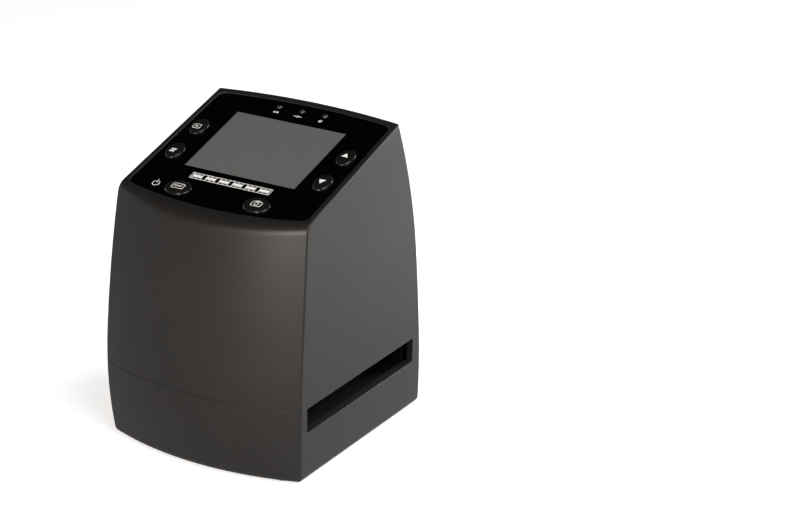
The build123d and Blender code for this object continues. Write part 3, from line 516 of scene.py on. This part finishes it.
# Indicator lights
# Three light pipes of smoked polycarbonate carry the lights of the LEDs under them to small domes behind
# the display. They are off, so they show as dark glassy beads.
pipe_drift_size = 0.001
pipe_plastic = start_material("smoked polycarbonate")
pipe_drift = noise(pipe_plastic, pipe_drift_size)
pipe_shader = add_node(
    pipe_plastic,
    "ShaderNodeBsdfPrincipled",
    {
        "Base Color": tinted(pipe_plastic, pipe_drift, "#2b2c2b", "#363736"),
        "Roughness": spread(pipe_plastic, pipe_drift, 0.12, 0.2),
        "IOR": 1.58,
    },
)
set_surface(pipe_plastic, pipe_shader.outputs[0])
finish_with(pipe_plastic, "light_pipes")

# Film track, chassis and optics
# Black glass-filled ABS, moulded and left matt so that stray light dies on it: the film track with its
# guides, the chassis plate over the slot, the optics tower and the lens barrel. Its colour is made
# darker and greener than the plastic's own black, as painted shade for the inside of the slot.
matt_grain = 0.0005
matt_ior = 1.22  # its rough skin mirrors next to nothing
# The near-black green colours below are painted shade of the deep slot, darker than the plastic's own
# black.
matt_black_with_slot_shade = moulded_plastic(
    "matt black ABS darkened with painted slot shade", "#040b07", "#070f0a", 0.66, 0.05, grain=matt_grain, relief=0.3, ior=matt_ior
)
finish_with(
    matt_black_with_slot_shade,
    "film_track",
    "chassis_plate",
    "optics_tower",
    "lens_barrel",
    "detent_cap",
    "switch_bodies",
    "av_socket",
)

# Lamp
# The lamp under the film: white LEDs in a moulded box of white polystyrene, under an opal acrylic
# diffuser that is clipped over it. It is off, so the diffuser is a grey white in the dark slot.
white_plastic = moulded_plastic("white polystyrene", "#dcdcd8", "#e4e4e0", 0.45, 0.05)
finish_with(white_plastic, "light_box")
opal = moulded_plastic("opal acrylic", "#9fa3a0", "#a8aca9", 0.30, 0.04, relief=0.03)
finish_with(opal, "diffuser")
lamp_resin = moulded_plastic("yellow phosphor resin", "#d8c65a", "#e0d070", 0.35, 0.05, relief=0.05)
finish_with(lamp_resin, "backlight_leds", "indicator_leds")

# Circuit boards
# Glass-fibre boards under green solder mask, screwed to the housing and the tower. Copper tracks under
# the mask show as slightly paler lines. Chips are black epoxy, plugs ivory nylon, switch stems acetal.
track_pitch = 0.0012
track_relief = 0.00003
mask_patch = 0.004
chip_grain = 0.0002
board_mask = start_material("green solder mask")
where = add_node(board_mask, "ShaderNodeTexCoord")
tracks = add_node(
    board_mask,
    "ShaderNodeTexBrick",
    {
        "Vector": where.outputs["Object"],
        "Color1": linear("#0f4a26"),
        "Color2": linear("#12522b"),
        "Mortar": linear("#2a7a48"),
        "Scale": 1 / track_pitch / 4,
        "Mortar Size": 0.06,
        "Brick Width": 1.7,
        "Row Height": 0.5,
    },
)
board_shader = add_node(
    board_mask,
    "ShaderNodeBsdfPrincipled",
    {
        "Base Color": tracks.outputs["Color"],
        "Roughness": spread(board_mask, noise(board_mask, mask_patch), 0.28, 0.38),
        "IOR": 1.5,
        "Normal": bump_normal(board_mask, tracks.outputs["Fac"], 0.15, track_relief),
    },
)
set_surface(board_mask, board_shader.outputs[0])
finish_with(board_mask, "control_board", "main_board", "sensor_board", "led_board")

epoxy = moulded_plastic("black epoxy", "#121314", "#17181a", 0.42, 0.05, grain=chip_grain)
finish_with(epoxy, "main_processor", "image_sensor")
nylon = moulded_plastic("ivory nylon", "#d5cdb4", "#ddd6c0", 0.45, 0.05)
finish_with(nylon, "flex_connectors", "lead_connectors", "detent_plunger")
stem_plastic = moulded_plastic("grey acetal", "#8d8d88", "#979792", 0.35, 0.05)
finish_with(stem_plastic, *("switch_stem_" + name for name in key_names))


# Metal pieces
# Screws and the click stop's spring are zinc-plated steel, dull and slightly stained. The sockets'
# folded shells are nickel-plated, and the display's frame is pressed aluminium.
stain_size = 0.002
draw_mark = 0.0004
draw_depth = 0.00002
metal_edge = 0.0001


def plated_metal(name, colour, other, rough):
    """Plated or pressed metal with faint stains and fine drawing marks."""
    material = start_material(name)
    stain = noise(material, stain_size, 4.0)
    marks = noise(material, draw_mark, 3.0)
    shader = add_node(
        material,
        "ShaderNodeBsdfPrincipled",
        {
            "Base Color": tinted(material, stain, colour, other),
            "Metallic": 1.0,
            "Roughness": spread(material, stain, rough - 0.06, rough + 0.06),
            "Normal": bump_normal(material, marks, 0.08, draw_depth, metal_edge),
        },
    )
    set_surface(material, shader.outputs[0])
    return material


zinc = plated_metal("zinc-plated steel", "#b4b4ac", "#c4c4bc", 0.32)
finish_with(
    zinc,
    "control_board_screws",
    "base_screws",
    "track_screws",
    "led_board_screws",
    "tower_screws",
    "sensor_board_screws",
    "main_board_screws",
)
nickel = plated_metal("nickel-plated steel", "#c8c4ba", "#d2cec4", 0.24)
finish_with(nickel, "usb_socket", "card_socket")
pressed_aluminium = plated_metal("pressed aluminium", "#b8babc", "#c4c6c8", 0.38)
finish_with(pressed_aluminium, "lcd_module")

# Click stop's spring
# Steel wire wound into an open coil. It stands on the plunger's collar under the cap. In the scanner it
# shortens as the plunger rises; this coil is wound once at its resting length and fixed to the body.
spring_wire = 0.00045
spring_turns = 5
spring_wire_sides = 10
spring_turn_steps = 24
spring_smooth_angle = math.radians(40)
spring_low, spring_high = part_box("detent_spring")
spring_middle = (spring_low + spring_high) / 2
spring_length = spring_high.z - spring_low.z
deselect()
bpy.ops.mesh.primitive_circle_add(
    vertices=spring_wire_sides,
    radius=spring_wire / 2,
    location=((spring_high.x - spring_low.x - spring_wire) / 2, 0, spring_low.z + spring_wire / 2),
    rotation=(math.pi / 2, 0, 0),
)
spring_coil = bpy.context.object
spring_coil.name = "click_stop_spring"
bpy.ops.object.transform_apply(location=True, rotation=True, scale=True)
winding = spring_coil.modifiers.new("winding", "SCREW")
winding.iterations = spring_turns
winding.screw_offset = (spring_length - spring_wire) / spring_turns
winding.steps = spring_turn_steps
winding.render_steps = spring_turn_steps
bpy.ops.object.modifier_apply(modifier=winding.name)
bpy.ops.object.mode_set(mode="EDIT")
bpy.ops.mesh.select_all(action="SELECT")
bpy.ops.mesh.remove_doubles(threshold=0.000001)
bpy.ops.mesh.fill_holes(sides=0)
bpy.ops.mesh.normals_make_consistent(inside=False)
bpy.ops.object.mode_set(mode="OBJECT")
spring_coil.location = (spring_middle.x, spring_middle.y, 0)
bpy.ops.object.transform_apply(location=True, rotation=True, scale=True)
bpy.ops.object.shade_smooth_by_angle(angle=spring_smooth_angle)
spring_coil.data.materials.append(zinc)
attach(spring_coil, "body")
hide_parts("detent_spring")
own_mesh(spring_coil)

# Lens
# A single element of ground and coated glass, clear and smooth, pressed into the foot of the barrel. Its
# coating leaves it a faint blue.
coating_patch = 0.003
lens_glass = start_material("coated lens glass")
lens_shader = add_node(
    lens_glass,
    "ShaderNodeBsdfPrincipled",
    {
        "Base Color": linear("#dfe8ee"),
        "Roughness": spread(lens_glass, noise(lens_glass, coating_patch), 0.01, 0.03),
        "IOR": 1.52,
        "Transmission Weight": 0.9,
    },
)
set_surface(lens_glass, lens_shader.outputs[0])
finish_with(lens_glass, "lens_glass")

# Flexes and the lamp's lead
# The flexes are glossy amber polyimide, laminated over copper tracks that show as paler lines along
# them. The lamp's lead is a sleeve of black PVC.
flex_track_pitch = 0.001
flex_patch = 0.003
polyimide = start_material("amber polyimide")
where = add_node(polyimide, "ShaderNodeTexCoord")
lines = add_node(
    polyimide,
    "ShaderNodeTexWave",
    {"Vector": where.outputs["Object"], "Scale": 1 / flex_track_pitch / 20},
    bands_direction="X",
)
flex_shader = add_node(
    polyimide,
    "ShaderNodeBsdfPrincipled",
    {
        "Base Color": tinted(polyimide, lines.outputs["Fac"], "#8a4a12", "#c98a4a"),
        "Roughness": spread(polyimide, noise(polyimide, flex_patch), 0.25, 0.35),
        "IOR": 1.6,
    },
)
set_surface(polyimide, flex_shader.outputs[0])
finish_with(polyimide, "display_flex", "panel_flex", "sensor_flex")
black_sleeve = moulded_plastic("black PVC sleeve", "#151515", "#1b1b1b", 0.45, 0.05)
finish_with(black_sleeve, "lamp_lead")

# Feet
# Four pads of black rubber, punched from sheet and stuck into recesses in the bottom. Rubber is dull and
# slightly grained.
rubber_grain = 0.0006
foot_rubber = moulded_plastic(
    "black rubber", "#161616", "#1c1c1c", 0.75, 0.05, grain=rubber_grain, relief=0.4
)
finish_with(foot_rubber, "rubber_feet")

# Close
# The picture's plain tones.
bpy.context.scene.view_settings.view_transform = "Standard"
